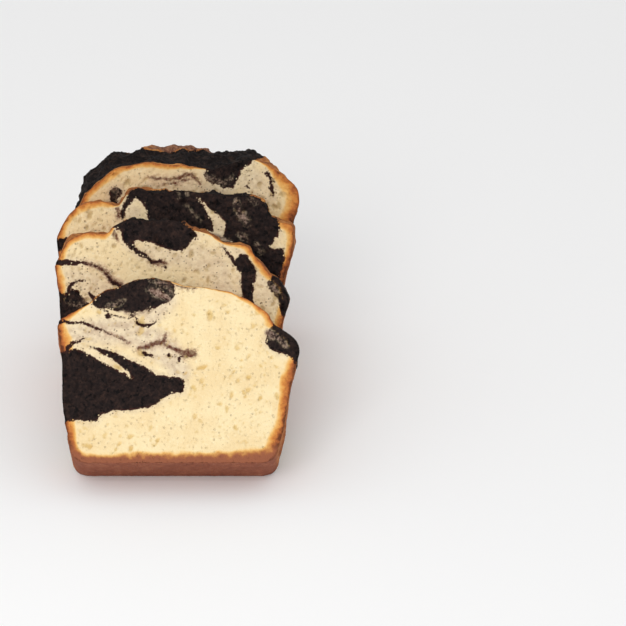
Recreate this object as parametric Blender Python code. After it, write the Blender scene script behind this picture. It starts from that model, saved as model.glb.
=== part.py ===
"""Half of a chocolate-marbled cream loaf cake, cut into three slices and the heel.

The slices lean back on one another and each rests on its lower rear edge.
X runs across the loaf, Y from the front slice to the heel, and Z up.
The origin is at the bottom centre of the whole. Lengths below are in millimetres.
A face point (across, up) is measured from the loaf's middle and from its floor.
"""
import math

import bmesh
import bpy
from mathutils import Euler, Vector, noise

MM = 0.001

# The pan's section, which every slice shares at its foot
FLOOR_LEFT = -45.0
FLOOR_RIGHT = 43.0
FLOOR_CORNER = 8.0

# Slices
SLICE_THICKNESS = 23.0
HEEL_THICKNESS = 26.0
HEEL_FOOT_LOSS = 4.0        # the pan's sloping end makes the heel thinner at its foot
HEEL_ROUNDING = 6.0         # radius round the rim of the baked end
LOAF_MIDDLE = (0.0, 42.0)   # outlines are drawn in towards this face point
LOAF_HEIGHT = 86.0
GAP = 0.4                   # air between one slice and the next where they touch
PRESSED = 1.2               # how much of each resting edge is pressed flat

# Crust relief
CRAG_SIZE = 8.0
TOP_CRAGS = 2.2
WALL_CRAGS = 0.8
END_CRAGS = 1.3
CUT_CRAGS = 0.35            # share of the relief that is left at a cut
CUT_REACH = 5.0             # how far from a cut the relief is back to its full height

# How finely a slice is faceted
ACROSS = 26                 # steps along the floor, and as many along the crown
UPRIGHT = 16                # steps up each side wall
LAYERS = 6                  # steps through a slice
ROUNDING_STEPS = 4

# The slices' front faces, from the front of the loaf, and last the outline of its baked end.
# Each gives the right wall from the foot up, the crown from the right shoulder to the left one,
# and the left wall from the shoulder down.
FACES = (
    {
        "right": ((45, 15), (47, 28), (50, 42)),
        "crown": ((51.3, 49), (49.5, 54.5), (43.5, 59.5), (40, 62), (38, 65.5), (33, 69.5), (25, 74), (13, 77),
                  (3, 78), (-3, 80), (-9, 81.5), (-16, 81.2), (-26, 77.5), (-33, 74.7), (-37.5, 70), (-44, 66),
                  (-50, 62.5)),
        "left": ((-50.3, 56), (-49, 46), (-48, 25)),
    },
    {
        "right": ((45, 16), (46, 28), (47.5, 40)),
        "crown": ((49.8, 50), (46, 58.3), (42, 61), (38, 66), (34, 71), (30, 74), (22, 75), (14, 79.3),
                  (8.5, 80.3), (3, 83), (-3, 84.5), (-19, 84.4), (-25, 82), (-28, 78.5), (-36, 78.7),
                  (-41.5, 77.6), (-46, 73.5), (-50, 65.5)),
        "left": ((-49.5, 58), (-48.5, 46), (-47, 22)),
    },
    {
        "right": ((45, 16), (46, 30), (48, 46)),
        "crown": ((51, 57), (51.8, 63), (51, 69.5), (45, 72), (41, 75), (39.5, 79), (36, 81.8), (31, 83.3),
                  (22, 83), (10, 84.5), (1, 85.5), (-7, 84.3), (-15, 85.8), (-21, 83.5), (-24.5, 78.8),
                  (-30, 79.6), (-36, 80.6), (-41, 79), (-47, 73), (-51, 65)),
        "left": ((-51, 58), (-49, 42), (-47, 22)),
    },
    {
        "right": ((45, 16), (47, 32), (49.5, 50)),
        "crown": ((52.3, 59), (54, 66), (53, 71.5), (48, 76.5), (43, 81), (36, 85.3), (29, 85.3), (20, 83.2),
                  (12, 82.6), (-1.5, 85.3), (-12, 86), (-20, 85.2), (-27, 84), (-33, 80.5), (-39, 75.5),
                  (-43, 69), (-46, 61)),
        "left": ((-47, 52), (-47, 38), (-46, 22)),
    },
    {
        "right": ((44, 16), (45, 32), (47, 50)),
        "crown": ((49, 62), (48, 71), (42, 80.5), (33, 84.5), (24, 85.5), (12, 87), (3, 88), (-10, 88),
                  (-22, 88), (-30, 86), (-36, 81), (-41, 75.5), (-42.5, 67)),
        "left": ((-43.5, 54), (-44, 38), (-44, 22)),
    },
)

# How each slice stands: lean back and turn in degrees, and shift across the loaf
STANCES = (
    {"name": "slice_1", "lean": 45.0, "turn": 0.0, "shift": 0.0},
    {"name": "slice_2", "lean": 26.5, "turn": 0.0, "shift": -3.2},
    {"name": "slice_3", "lean": 25.0, "turn": 0.0, "shift": -3.0},
    {"name": "slice_4", "lean": 12.0, "turn": 6.5, "shift": -1.0},
)
HEEL = len(STANCES) - 1

CRUMB_COLOUR = (0.80, 0.62, 0.36, 1.0)
CRUMB_ROUGHNESS = 0.85


def clear_scene():
    for thing in list(bpy.data.objects):
        bpy.data.objects.remove(thing, do_unlink=True)


def ramp(value, low, high):
    """0 below low, 1 above high, and smooth between."""
    part = min(1.0, max(0.0, (value - low) / (high - low)))
    return part * part * (3.0 - 2.0 * part)


def arc(middle, radius, start, end, steps=6):
    """Points of an arc, its angles in degrees from +X."""
    angles = (math.radians(start + (end - start) * step / steps) for step in range(steps + 1))
    return [Vector((middle[0] + radius * math.cos(a), middle[1] + radius * math.sin(a))) for a in angles]


def curve_through(points, steps=8):
    """A Catmull-Rom curve through every point, with its first and last points repeated as ends."""
    points = [Vector(point) for point in points]
    padded = [points[0]] + points + [points[-1]]
    line = []
    for before, start, end, after in zip(padded, padded[1:], padded[2:], padded[3:]):
        for step in range(steps):
            t = step / steps
            line.append(0.5 * (2 * start + (end - before) * t
                               + (2 * before - 5 * start + 4 * end - after) * t ** 2
                               + (3 * start - before - 3 * end + after) * t ** 3))
    return line + [points[-1]]


def evenly(line, count):
    """count points spaced evenly along a line, its last point left out."""
    reach = [0.0]
    for start, end in zip(line, line[1:]):
        reach.append(reach[-1] + (end - start).length)
    points, piece = [], 0
    for step in range(count):
        target = reach[-1] * step / count
        while reach[piece + 1] < target:
            piece += 1
        part = (target - reach[piece]) / max(reach[piece + 1] - reach[piece], 1e-9)
        points.append(line[piece].lerp(line[piece + 1], part))
    return points


def rim(face):
    """The face's outline, anticlockwise from the foot's left corner."""
    left_corner = (FLOOR_LEFT + FLOOR_CORNER, FLOOR_CORNER)
    right_corner = (FLOOR_RIGHT - FLOOR_CORNER, FLOOR_CORNER)
    above = [(FLOOR_RIGHT, FLOOR_CORNER), *face["right"], *face["crown"], *face["left"],
             (FLOOR_LEFT, FLOOR_CORNER)]
    steps = 8
    line = curve_through(above, steps)
    shoulder_right = (1 + len(face["right"])) * steps
    shoulder_left = shoulder_right + (len(face["crown"]) - 1) * steps
    floor = arc(left_corner, FLOOR_CORNER, 225, 270) + arc(right_corner, FLOOR_CORNER, 270, 315)
    right = arc(right_corner, FLOOR_CORNER, 315, 360)[:-1] + line[:shoulder_right + 1]
    crown = line[shoulder_right:shoulder_left + 1]
    left = line[shoulder_left:] + arc(left_corner, FLOOR_CORNER, 180, 225)[1:]
    return evenly(floor, ACROSS) + evenly(right, UPRIGHT) + evenly(crown, ACROSS) + evenly(left, UPRIGHT)


def crags(across, up, along):
    """How far the crust stands out at a point of the loaf, along the loaf from its front face."""
    height = WALL_CRAGS + (TOP_CRAGS - WALL_CRAGS) * ramp(up, 56.0, 74.0)
    nearest_cut = min(abs(along - cut * SLICE_THICKNESS) for cut in range(len(STANCES)))
    height *= CUT_CRAGS + (1.0 - CUT_CRAGS) * ramp(nearest_cut, 0.0, CUT_REACH)
    height *= ramp(up, 1.0, 14.0)
    return height * noise.fractal(Vector((across, up, along)) / CRAG_SIZE, 1.0, 2.0, 2)


def craggy(ring, along):
    """A ring of face points, each moved out or in by the crust's relief."""
    moved = []
    for index, point in enumerate(ring):
        run = ring[(index + 1) % len(ring)] - ring[index - 1]
        outward = Vector((run.y, -run.x)).normalized()
        moved.append(point + outward * crags(point.x, point.y, along))
    return moved


def between(front, back, part):
    return [start.lerp(end, part) for start, end in zip(front, back)]


def rear_outline(index):
    """The next slice's face, drawn in to a slice's own outline wherever its ragged crest stands proud."""
    middle = Vector(LOAF_MIDDLE)
    outline = []
    for own, following in zip(rim(FACES[index]), rim(FACES[index + 1])):
        share = min(1.0, (following - middle).length / (own - middle).length)
        outline.append(middle + (own - middle) * share)
    return outline


def slice_layers(index):
    """The rings of a slice as lists of (across, along, up), along 0 at its front face."""
    front, back = rim(FACES[index]), rear_outline(index)
    start = index * SLICE_THICKNESS
    depths = [SLICE_THICKNESS * layer / LAYERS for layer in range(LAYERS + 1)]
    return [[(point.x, depth, point.y) for point in
             craggy(between(front, back, depth / SLICE_THICKNESS), start + depth)] for depth in depths]


def sloped(ring, depth):
    """A heel ring as (across, along, up), nearer the cut at the foot, where the pan's end slopes in."""
    loss = HEEL_FOOT_LOSS / HEEL_THICKNESS
    return [(point.x, depth * (1.0 - loss * (1.0 - point.y / LOAF_HEIGHT)), point.y) for point in ring]


def heel_layers():
    """The heel's rings: a straight part, then the rounded rim of the baked end."""
    front, back = rim(FACES[HEEL]), rim(FACES[HEEL + 1])
    middle = Vector(LOAF_MIDDLE)
    start = HEEL * SLICE_THICKNESS
    straight = HEEL_THICKNESS - HEEL_ROUNDING
    stations = [(straight * layer / LAYERS, 0.0) for layer in range(LAYERS)]
    for step in range(ROUNDING_STEPS + 1):
        angle = math.pi / 2 * step / ROUNDING_STEPS
        stations.append((straight + HEEL_ROUNDING * math.sin(angle), HEEL_ROUNDING * (1 - math.cos(angle))))
    layers = []
    for depth, inset in stations:
        ring = craggy(between(front, back, min(1.0, depth / straight)), start + depth)
        ring = [point - (point - middle).normalized() * inset for point in ring]
        layers.append(sloped(ring, depth))
    return layers


def filled(ring):
    """Rows of points that fill a ring, from the floor up, each from left to right (a Coons patch)."""
    floor, right = ring[:ACROSS + 1], ring[ACROSS:ACROSS + UPRIGHT + 1]
    crown = ring[ACROSS + UPRIGHT:2 * ACROSS + UPRIGHT + 1][::-1]
    left = (ring[2 * ACROSS + UPRIGHT:] + ring[:1])[::-1]
    rows = []
    for row in range(UPRIGHT + 1):
        v = row / UPRIGHT
        line = []
        for column in range(ACROSS + 1):
            u = column / ACROSS
            edges = floor[column] * (1 - v) + crown[column] * v + left[row] * (1 - u) + right[row] * u
            corners = ((floor[0] * (1 - u) + floor[-1] * u) * (1 - v)
                       + (crown[0] * (1 - u) + crown[-1] * u) * v)
            line.append(edges - corners)
        rows.append(line)
    return rows


def lofted(layers):
    """A bmesh through the rings, in metres, open at the back, and the vertices of its last ring."""
    solid = bmesh.new()
    rings = [[solid.verts.new(Vector(point) * MM) for point in layer] for layer in layers]
    for near, far in zip(rings, rings[1:]):
        for a, b, c, d in zip(near, near[1:] + near[:1], far[1:] + far[:1], far):
            solid.faces.new((a, b, c, d))
    solid.faces.new(rings[0][::-1])
    return solid, rings[-1]


def close_cut(solid, last):
    """Closes a slice with its rear cut, which is flat."""
    solid.faces.new(last)


def close_baked(solid, last):
    """Closes the heel with the loaf's baked end, a grid in low bumps."""
    around = [(0, column) for column in range(ACROSS)]
    around += [(row, ACROSS) for row in range(UPRIGHT)]
    around += [(UPRIGHT, column) for column in range(ACROSS, 0, -1)]
    around += [(row, 0) for row in range(UPRIGHT, 0, -1)]
    grid = dict(zip(around, last))
    for row, line in enumerate(filled([vert.co for vert in last])):
        for column, point in enumerate(line):
            if (row, column) in grid:
                continue
            spot = Vector((point.x, point.z, HEEL * SLICE_THICKNESS * MM)) / (CRAG_SIZE * MM)
            bump = END_CRAGS * MM * abs(noise.fractal(spot, 1.0, 2.0, 2))
            grid[row, column] = solid.verts.new(point - Vector((0.0, bump, 0.0)))
    for row in range(UPRIGHT):
        for column in range(ACROSS):
            solid.faces.new((grid[row, column], grid[row, column + 1],
                             grid[row + 1, column + 1], grid[row + 1, column]))


def press_flat(solid, turned, foot):
    """Cuts off what lies below the table once the solid has been turned and lowered to it."""
    down = turned.inverted() @ Vector((0.0, 0.0, -1.0))
    table = turned.inverted() @ Vector((0.0, 0.0, foot))
    cut = bmesh.ops.bisect_plane(solid, geom=solid.verts[:] + solid.edges[:] + solid.faces[:],
                                 dist=1e-7, plane_co=table, plane_no=down, clear_outer=True)
    edges = [item for item in cut["geom_cut"] if isinstance(item, bmesh.types.BMEdge)]
    bmesh.ops.edgeloop_fill(solid, edges=edges)
    bmesh.ops.recalc_face_normals(solid, faces=solid.faces)


def cake_material(name):
    material = bpy.data.materials.new(name)
    material.use_nodes = True
    shader = material.node_tree.nodes["Principled BSDF"]
    shader.inputs["Base Color"].default_value = CRUMB_COLOUR
    shader.inputs["Roughness"].default_value = CRUMB_ROUGHNESS
    shader.inputs["Metallic"].default_value = 0.0
    return material


def distance_back(leaner, turned, foot, shift):
    """Where along Y a slice's front lower edge goes, so that the one in front leans on it."""
    normal = turned @ Vector((0.0, 1.0, 0.0))
    lowered = Vector((shift * MM, 0.0, -foot))
    furthest = max(point.dot(normal) for point in leaner)
    return (furthest + GAP * MM - lowered.dot(normal)) / normal.y


def build_slices():
    """Makes the slices from the front one back, each leaned on by the one before."""
    slices, leaner = [], []
    for index, stance in enumerate(STANCES):
        if index == HEEL:
            solid, last = lofted(heel_layers())
            close_baked(solid, last)
        else:
            solid, last = lofted(slice_layers(index))
            close_cut(solid, last)
        bmesh.ops.recalc_face_normals(solid, faces=solid.faces)
        rotation = Euler((math.radians(-stance["lean"]), 0.0, math.radians(stance["turn"])), "XYZ")
        turned = rotation.to_matrix()
        foot = min((turned @ vert.co).z for vert in solid.verts) + PRESSED * MM
        press_flat(solid, turned, foot)
        back = distance_back(leaner, turned, foot, stance["shift"]) if leaner else 0.0
        mesh = bpy.data.meshes.new(stance["name"])
        solid.to_mesh(mesh)
        solid.free()
        mesh.materials.append(cake_material(stance["name"] + "_crumb"))
        piece = bpy.data.objects.new(stance["name"], mesh)
        piece.location = (stance["shift"] * MM, back, -foot)
        piece.rotation_euler = rotation
        bpy.context.collection.objects.link(piece)
        leaner = [turned @ vert.co + piece.location for vert in mesh.vertices]
        slices.append((piece, leaner))
    return slices


def centre(slices):
    """Moves everything so that the origin is at the bottom centre of the whole."""
    points = [point for _, corners in slices for point in corners]
    middle_x = (min(p.x for p in points) + max(p.x for p in points)) / 2
    middle_y = (min(p.y for p in points) + max(p.y for p in points)) / 2
    for piece, _ in slices:
        piece.location.x -= middle_x
        piece.location.y -= middle_y


clear_scene()
centre(build_slices())
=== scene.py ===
"""Looks of half a cream loaf cake marbled with chocolate: three slices and the heel.

Each slice is a fine closed mesh that follows its solid, with real crags, pits and pores. Its
material reads how deep a point lies in the chocolate, the crust and so on from the mesh, and it
paints shade into the pits, pores and hollows and highlights onto the crumb.
Lengths are in millimetres up to the last step. A loaf point is (across, along, up), along being
counted from the loaf's front cut, and a face point is (across, up).
"""

import math
from itertools import product
from types import SimpleNamespace

import bpy
import numpy as np
from mathutils import Euler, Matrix, Vector, kdtree, noise


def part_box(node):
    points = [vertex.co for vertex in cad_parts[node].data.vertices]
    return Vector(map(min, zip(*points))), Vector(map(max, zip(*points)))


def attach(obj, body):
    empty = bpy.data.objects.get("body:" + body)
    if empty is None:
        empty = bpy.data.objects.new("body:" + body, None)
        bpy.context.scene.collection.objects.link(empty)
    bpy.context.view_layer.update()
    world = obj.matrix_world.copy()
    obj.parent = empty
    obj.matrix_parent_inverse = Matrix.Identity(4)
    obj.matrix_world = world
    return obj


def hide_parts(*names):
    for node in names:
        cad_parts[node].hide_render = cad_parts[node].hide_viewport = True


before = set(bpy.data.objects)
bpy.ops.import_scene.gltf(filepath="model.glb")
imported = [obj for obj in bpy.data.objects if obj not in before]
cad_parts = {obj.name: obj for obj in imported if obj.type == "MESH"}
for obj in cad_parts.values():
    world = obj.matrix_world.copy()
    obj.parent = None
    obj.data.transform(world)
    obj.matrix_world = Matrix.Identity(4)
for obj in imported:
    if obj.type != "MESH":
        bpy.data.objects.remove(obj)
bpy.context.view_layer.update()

MM = 0.001

# ------ the picture

PICTURE = 626  # pixels along each side
ELEVATION = math.radians(28.0)
FOCAL_PIXELS = 4000.0
PIXELS_PER_MM = 2.37  # at the datum
DATUM_PIXEL = (178.0, 475.0)  # where the front slice's rear lower edge touches the floor

# ------ the solids' own dimensions

FLOOR_LEFT = -45.0
FLOOR_RIGHT = 43.0
FLOOR_CORNER = 8.0
SLICE_THICKNESS = 23.0
HEEL_THICKNESS = 26.0
HEEL_FOOT_LOSS = 4.0  # the pan's sloping end makes the heel thinner at its foot
HEEL_ROUNDING = 6.0  # radius round the rim of the baked end
LOAF_MIDDLE = (0.0, 42.0)  # outlines are drawn in towards this face point
LOAF_HEIGHT = 86.0

# Relief of the crust
CRAG_SIZE = 8.0
TOP_CRAGS = 2.2
WALL_CRAGS = 0.8
END_CRAGS = 1.3
CUT_CRAGS = 0.35  # share of the relief that is left at a cut
CUT_REACH = 5.0  # how far from a cut the relief is back to its full height
SHOULDER = (56.0, 74.0)  # heights between which the walls' relief becomes the crown's
FOOT = (1.0, 14.0)  # the same where the walls' relief comes in

# Steps along the floor and crown, up each wall, and through a slice
SOLID_STEPS = (26, 16, 6)
FINE_STEPS = (220, 150, 34)
FINE_HEEL_STEPS = (220, 150, 26)
CORNER_STEPS = 6
CURVE_STEPS = 8  # between one point of an outline and the next
MARBLE_STEPS = 4  # the same for the marbling

# The slices' front faces, from the front of the loaf, and last the outline of its baked end.
# Each gives the right wall from the foot up, the crown from the right shoulder to the left one,
# and the left wall from the shoulder down.
FACES = ({
    "right": ((45, 15), (47, 28), (50, 42)),
    "crown": ((51.3, 49), (49.5, 54.5), (43.5, 59.5), (40, 62), (38, 65.5), (33, 69.5), (25, 74),
              (13, 77), (3, 78), (-3, 80), (-9, 81.5), (-16, 81.2), (-26, 77.5), (-33, 74.7),
              (-37.5, 70), (-44, 66), (-50, 62.5)),
    "left": ((-50.3, 56), (-49, 46), (-48, 25)),
}, {
    "right": ((45, 16), (46, 28), (47.5, 40)),
    "crown": ((49.8, 50), (46, 58.3), (42, 61), (38, 66), (34, 71), (30, 74), (22, 75), (14, 79.3),
              (8.5, 80.3), (3, 83), (-3, 84.5), (-19, 84.4), (-25, 82), (-28, 78.5), (-36, 78.7),
              (-41.5, 77.6), (-46, 73.5), (-50, 65.5)),
    "left": ((-49.5, 58), (-48.5, 46), (-47, 22)),
}, {
    "right": ((45, 16), (46, 30), (48, 46)),
    "crown": ((51, 57), (51.8, 63), (51, 69.5), (45, 72), (41, 75), (39.5, 79), (36, 81.8), (31, 83.3),
              (22, 83), (10, 84.5), (1, 85.5), (-7, 84.3), (-15, 85.8), (-21, 83.5), (-24.5, 78.8),
              (-30, 79.6), (-36, 80.6), (-41, 79), (-47, 73), (-51, 65)),
    "left": ((-51, 58), (-49, 42), (-47, 22)),
}, {
    "right": ((45, 16), (47, 32), (49.5, 50)),
    "crown": ((52.3, 59), (54, 66), (53, 71.5), (48, 76.5), (43, 81), (36, 85.3), (29, 85.3), (20, 83.2),
              (12, 82.6), (-1.5, 85.3), (-12, 86), (-20, 85.2), (-27, 84), (-33, 80.5), (-39, 75.5),
              (-43, 69), (-46, 61)),
    "left": ((-47, 52), (-47, 38), (-46, 22)),
}, {
    "right": ((44, 16), (45, 32), (47, 50)),
    "crown": ((49, 62), (48, 71), (42, 80.5), (33, 84.5), (24, 85.5), (12, 87), (3, 88), (-10, 88),
              (-22, 88), (-30, 86), (-36, 81), (-41, 75.5), (-42.5, 67)),
    "left": ((-43.5, 54), (-44, 38), (-44, 22)),
})

# How far each slice leans back, and is turned, in degrees
STANCES = (
    {"name": "slice_1", "lean": 45.0, "turn": 0.0},
    {"name": "slice_2", "lean": 26.5, "turn": 0.0},
    {"name": "slice_3", "lean": 25.0, "turn": 0.0},
    {"name": "slice_4", "lean": 12.0, "turn": 6.5},
)
HEEL = len(STANCES) - 1

# ------ the marbling of each cut face
# The points are picked in pixels of the picture, and run off the face where a patch does.
# The strokes' radii were once rounded to tenths of a millimetre.
# dark: closed outlines of chocolate crumb. The rest are strokes through (x, y, radius): streak adds
# chocolate, pale takes it away, mauve is chocolate mixed with cream, brown is cream stained by
# chocolate, and grey is the dull crumb round it. A face leaves out the kinds that it has none of.

MARBLING_PIXELS = ({
    "dark": (
        ((53, 362), (67, 350), (92, 346), (118, 354), (148, 369), (160, 375.5), (178, 377), (184.5, 382),
         (183, 391), (172, 394), (163, 399), (152, 406), (138, 409), (104, 413), (97, 420), (88, 422),
         (75, 420), (53, 418)),
        ((92, 303), (98, 296), (104, 291), (119, 286), (131, 280), (146, 277), (158, 277), (168, 280),
         (174, 286), (175, 292), (168, 302), (160, 305), (152, 309), (140, 311.5), (124, 312), (110, 309.5),
         (99, 308)),
        ((266, 341), (269, 332), (275, 324), (285, 322), (300, 328), (310, 342), (310, 358), (297, 364),
         (291, 357), (282, 354), (273, 350), (268, 346)),
    ),
    "streak": (
        ((67, 351, 2.1), (70, 345, 1.7), (76, 341, 1.2), (84, 339, 0.7)),
        ((56, 321.5, 2.4), (68, 322, 1.7), (86, 323, 1.2), (96, 327, 1.2), (107, 332, 0.7),
         (128, 344, 0.3)),
        ((56, 317, 3.1), (66, 315, 1.7)),
        ((103, 310, 0.7), (112, 314.5, 1.0), (122, 318, 0.7), (131, 318, 0.7), (137, 313, 1.2)),
        ((136, 318, 0.7), (139, 323, 1.7), (146, 325.5, 1.7), (153, 324, 1.0), (156, 321, 0.5)),
        ((107, 316, 2.4), (109, 317, 1.7)), ((132, 314, 1.9), (134, 315, 1.7)),
        ((141, 351, 1.2), (146, 354, 1.9), (152, 356, 1.4)), ((169, 355, 1.7), (169.5, 356, 1.2)),
        ((181, 356, 1.2), (179, 362, 0.7)),
    ),
    "pale": (
        ((80, 346.5, 2.8), (90, 351, 3.6), (101, 356.5, 3.6), (112, 363, 3.6), (122, 369.5, 2.4),
         (131, 378, 0.5)),
        ((151, 290, 1.0), (158, 292, 2.4), (164, 295, 2.1), (167.5, 297.5, 0.7)),
    ),
    "mauve": (
        ((268, 333, 3.6), (274, 335, 4.5), (281, 340, 3.8), (287, 346, 1.9)),
        ((150, 280, 1.4), (160, 282, 2.8), (168, 286, 3.1), (171, 293, 2.1)),
        ((148.5, 289, 3.3), (157, 292, 5.2), (164, 296, 4.5), (168, 299.5, 1.9)),
        ((108, 306, 2.1), (114, 304, 2.6), (120, 303, 2.4), (124, 300, 1.4)),
        ((118, 311, 1.2), (128, 313, 1.7), (140, 313, 1.7), (150, 310.5, 1.2)),
    ),
    "brown": (
        ((139, 348, 1.7), (147, 347, 1.9), (155, 343.5, 2.6), (162, 340.5, 2.4), (166, 335, 0.7)),
        ((162, 342, 0.9), (170, 347, 1.4), (178, 350, 2.1), (186, 353, 3.8), (193, 353, 3.1)),
        ((165, 278.5, 2.4), (173, 281.5, 3.1), (183, 285, 2.6), (195, 287.5, 0.9)),
        ((130, 342.5, 0.5), (111, 333.5, 0.6), (92, 325, 0.9)),
    ),
    "grey": (
        ((78, 333, 11.4), (110, 330, 15.4), (140, 336, 14.5), (165, 350, 14.5), (180, 372, 9.2)),
        ((155, 292, 7.1), (168, 300, 8.3), (150, 318, 9.2)),
    ),
}, {
    "dark": (
        ((111, 227), (117, 220.5), (126, 213.5), (150, 213), (163, 213), (176, 216), (184, 222), (192, 228),
         (197, 233), (196, 238), (190, 242), (186, 248), (178, 251.5), (170, 250), (160, 246), (150, 242.5),
         (138, 241), (134, 243), (136, 248), (144, 253), (151, 258), (152, 262), (144, 259), (135, 253),
         (128, 247), (123, 240), (120, 231)),
        ((235, 259), (241, 254), (247, 255), (252, 263), (257, 270), (257, 277), (253, 284), (253.5, 293),
         (252, 307), (246, 307), (243, 294), (240, 284), (240.5, 274), (237, 268)),
        ((53, 296), (66, 294), (70, 289), (76, 290), (82, 295), (85, 301), (90, 306), (86, 317), (74, 326),
         (53, 331)),
        ((268, 283), (272, 275), (281, 271), (292, 282), (298, 293), (296, 303), (289, 326), (281, 312),
         (277, 298), (271, 291)),
    ),
    "streak": (
        ((152, 263, 1.7), (158, 262, 1.4), (163, 262, 1.2)), ((165, 266.5, 0.9), (166, 267.5, 0.7)),
        ((223, 246, 0.7), (227, 252, 1.4), (232, 258, 1.9), (237, 263, 2.6)),
        ((52, 262, 3.8), (62, 263, 2.8), (75, 262.5, 1.9), (86, 263.5, 1.2), (96, 266, 0.9),
         (104, 271, 0.9), (113, 282, 1.7), (128, 290, 1.7)),
        ((67, 292, 2.1), (71, 285, 1.7), (76, 282, 1.4), (84, 281, 0.7)),
        ((89, 293, 1.7), (94, 298, 2.1), (97, 303, 2.1)),
    ),
    "mauve": (
        ((271, 283, 2.6), (276, 289, 3.1), (280, 297, 2.1)),
        ((66, 300, 2.1), (78, 306, 2.6), (86, 300, 2.1)),
    ),
    "brown": (
        ((88, 264, 1.4), (98, 267, 1.9), (106, 273, 2.1), (113, 281, 2.4), (121, 285, 2.1)),
        ((146, 257, 1.7), (155, 263, 2.1), (166, 263, 1.2)),
        ((109, 229.5, 1.9), (113.5, 233, 2.1), (117, 240, 1.4)),
    ),
    "grey": (
        ((72, 275, 9.2), (90, 285, 13.5), (105, 292, 10.2)),
        ((238, 250, 8.3), (262, 285, 12.3), (270, 300, 8.3)),
        ((150, 250, 9.2), (185, 255, 13.5), (215, 265, 13.5), (225, 290, 11.4)),
    ),
}, {
    "dark": (
        ((121, 218), (121, 210), (125, 202), (128, 195), (131, 186), (138, 183), (156, 183), (190, 183),
         (225, 185), (253, 187), (263, 193), (270, 202), (273, 211), (279, 220), (279, 232), (276, 240),
         (271, 246), (276, 249), (283, 250), (285, 260), (281, 272), (277, 290), (262, 290), (246, 262),
         (236, 246), (226, 240), (212, 232), (200, 231), (190, 240), (165, 246), (152, 236), (148, 222),
         (146, 209), (142, 202), (136, 199), (131, 203), (126, 210), (124, 218)),
        ((52, 241), (68, 238.5), (65, 246), (60, 251), (52, 252)),
    ),
    "pale": (
        ((199, 199, 0.7), (205, 206, 1.7), (210, 213, 2.4), (217, 221, 5.2), (219, 227, 6.4),
         (218, 233, 5.9)),
        ((276, 240, 1.9), (279, 245, 3.1)),
    ),
    "mauve": (
        ((237, 201, 3.1), (238, 209, 4.7), (243, 217, 5.0), (248, 224, 2.4)),
        ((240, 235, 3.3), (245, 239, 3.3)), ((249, 197, 1.7), (255, 203, 2.1)),
        ((257, 244, 2.1), (261, 252, 2.6)), ((210, 235, 2.1), (222, 238, 2.1), (230, 243, 1.9)),
        ((185, 205, 0.7), (192, 212, 1.2), (200, 222, 0.7)), ((179, 192, 0.9), (180, 198, 0.7)),
        ((187, 191, 0.9), (188, 196, 0.7)),
    ),
    "brown": (((117.5, 208, 1.2), (118.5, 217, 1.4)),),
    "grey": (((216, 219, 8.3), (219, 230, 10.7)), ((134, 212, 9.2), (112, 205, 5.2)),),
}, {
    "dark": (
        ((203, 152), (207, 168), (205, 175), (209, 181), (215, 185), (224, 188), (233, 187.5), (237, 181),
         (240, 173), (246, 167), (252, 161), (257, 150), (230, 144)),
        ((111, 190), (116, 188), (122, 189), (121, 194), (118, 198), (119, 204), (112, 204), (110, 196)),
    ),
    "streak": (
        ((267, 172, 1.4), (270, 178, 1.9), (271, 186, 1.9), (272, 193, 1.7), (272, 199, 0.7)),
        ((274, 181, 0.7), (274.5, 182, 0.7)), ((247, 186, 1.4), (249, 187, 0.9)),
    ),
    "mauve": (
        ((113, 190, 2.4), (118, 191, 2.4), (115, 199, 1.9)),
        ((208, 176, 2.4), (215, 180, 2.8), (224, 183, 2.8), (232, 177, 1.9)),
    ),
    "brown": (
        ((150, 177, 0.5), (160, 179, 0.9), (178, 178.5, 1.2), (184, 176.5, 1.9), (189, 174.5, 2.1),
         (195, 178, 1.4), (200, 183, 0.7)),
        ((163.5, 185, 0.5), (179, 182, 0.9), (190.5, 180, 0.7)),
        ((97, 185, 1.9), (102, 180, 2.1), (110, 178, 1.7)),
    ),
    "grey": (((150, 186, 7.1), (185, 187, 9.2), (222, 190, 9.2)), ((250, 180, 13.5), (262, 195, 13.5)),),
})

# The same for the heel just behind its cut, and at the loaf's baked end, which the picture doesn't
# show. These are face points, in millimetres.
HEEL_MARBLING = ({
    "dark": (
        ((-60, 50), (-44, 58), (-38, 66), (-28, 72), (-10, 74), (10, 74), (26, 76), (33, 80), (36, 95),
         (-60, 95)),
    ),
}, {
    "dark": (
        ((-60, 50), (-42, 54), (-34, 66), (-22, 72), (-8, 66), (6, 70), (18, 76), (32, 78), (40, 80),
         (38, 96), (-60, 96)),
        ((-60, 40), (-46, 42), (-36, 38), (-31, 30), (-36, 22), (-47, 17), (-60, 18)),
        ((20, 62), (29, 66), (39, 60), (46, 49), (60, 42), (60, 30), (48, 34), (38, 43), (27, 51)),
    ),
    "streak": (((-8, 66, 4), (-3, 57, 2.6), (4, 52, 1.0)),),
    "pale": (((-13, 89, 1.6), (-4, 89, 3), (6, 89, 3.4), (16, 88, 1.6)),),
    "mauve": (((-20, 86, 1), (-4, 86, 4), (10, 86, 4), (20, 86, 1)),),
    "brown": (((-30, 30, 2), (-22, 24, 2.6), (-12, 22, 1)),),
})

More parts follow.
